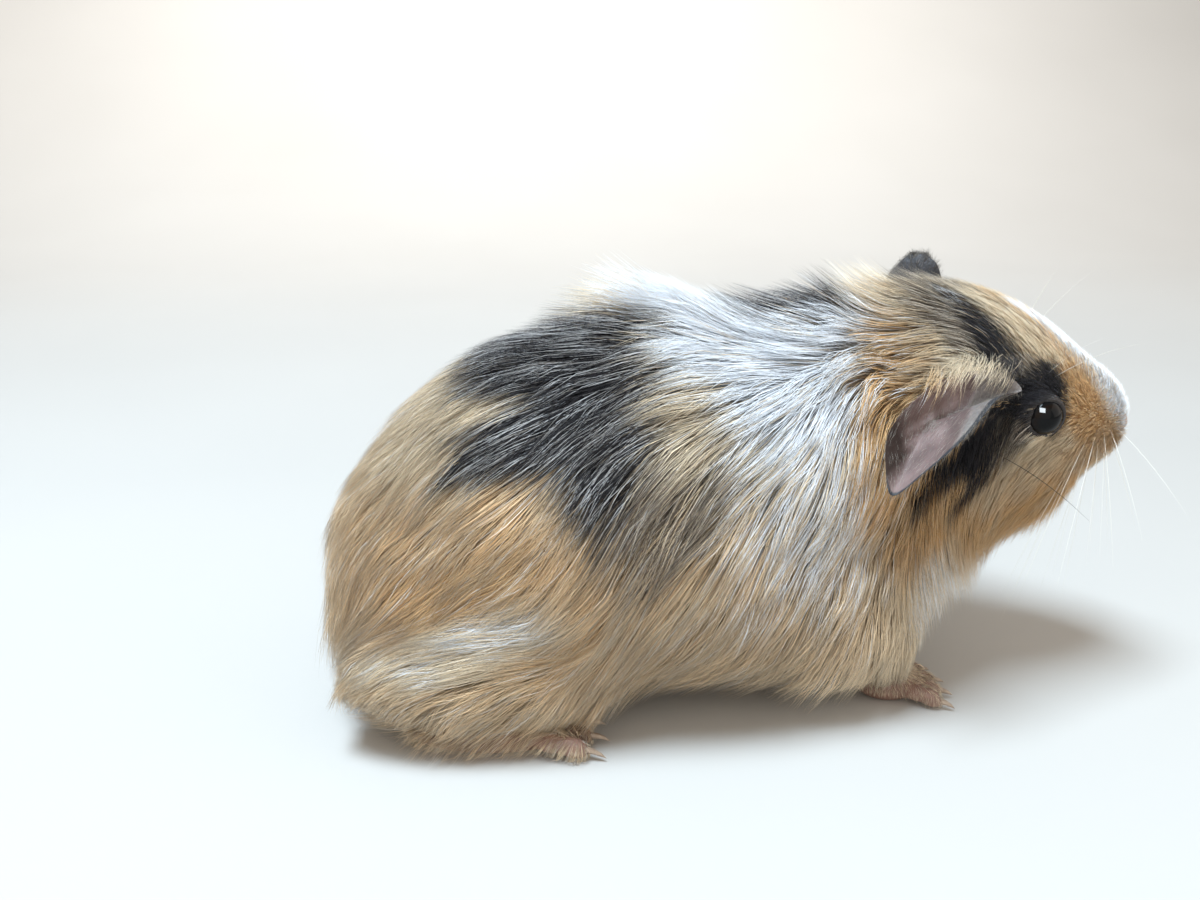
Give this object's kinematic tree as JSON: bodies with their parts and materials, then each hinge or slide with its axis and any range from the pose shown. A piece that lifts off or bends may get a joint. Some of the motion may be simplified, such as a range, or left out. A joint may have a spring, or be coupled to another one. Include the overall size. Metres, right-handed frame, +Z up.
{
  "type": "guinea pig",
  "caption": "Life-size still guinea pig standing on all fours, long-coated in black, gold and white, head turned a little to its right; a figure that rests on a floor or shelf.",
  "frame": {"origin": "on the floor under the middle of the animal's box", "axes": "+X from rump to nose, +Y to the animal's left, +Z up"},
  "size_m": [0.2358, 0.096, 0.1286],
  "materials": {
    "white_fur": "soft long straight hair, blue-white on top and cream below",
    "cream_fur": "soft long straight hair, cream to gold",
    "gold_fur": "short to medium hair, warm gold",
    "ear_skin": "thin bare skin with fine down, satin",
    "foot_skin": "bare skin with fine down, satin",
    "nose_skin": "soft skin, satin",
    "eye": "wet gloss",
    "claw": "smooth horn"
  },
  "bodies": {
    "root": {"forefoot_left_claw_1": "claw", "forefoot_left_claw_2": "claw", "forefoot_left_claw_3": "claw", "forefoot_left_claw_4": "claw", "forefoot_left": "foot_skin", "hindfoot_left_claw_1": "claw", "hindfoot_left_claw_2": "claw", "hindfoot_left_claw_3": "claw", "hindfoot_left": "foot_skin", "eye_left": "eye", "ear_left": "ear_skin", "forefoot_right_claw_1": "claw", "forefoot_right_claw_2": "claw", "forefoot_right_claw_3": "claw", "forefoot_right_claw_4": "claw", "forefoot_right": "foot_skin", "hindfoot_right_claw_1": "claw", "hindfoot_right_claw_2": "claw", "hindfoot_right_claw_3": "claw", "hindfoot_right": "foot_skin", "eye_right": "eye", "ear_right": "ear_skin", "nose": "nose_skin", "lower_jaw": "gold_fur", "hindleg_left": "cream_fur", "foreleg_left": "white_fur", "hindleg_right": "cream_fur", "foreleg_right": "white_fur", "rump": "cream_fur", "trunk": "white_fur", "neck": "gold_fur", "head": "cream_fur"}
  },
  "joints": []
}
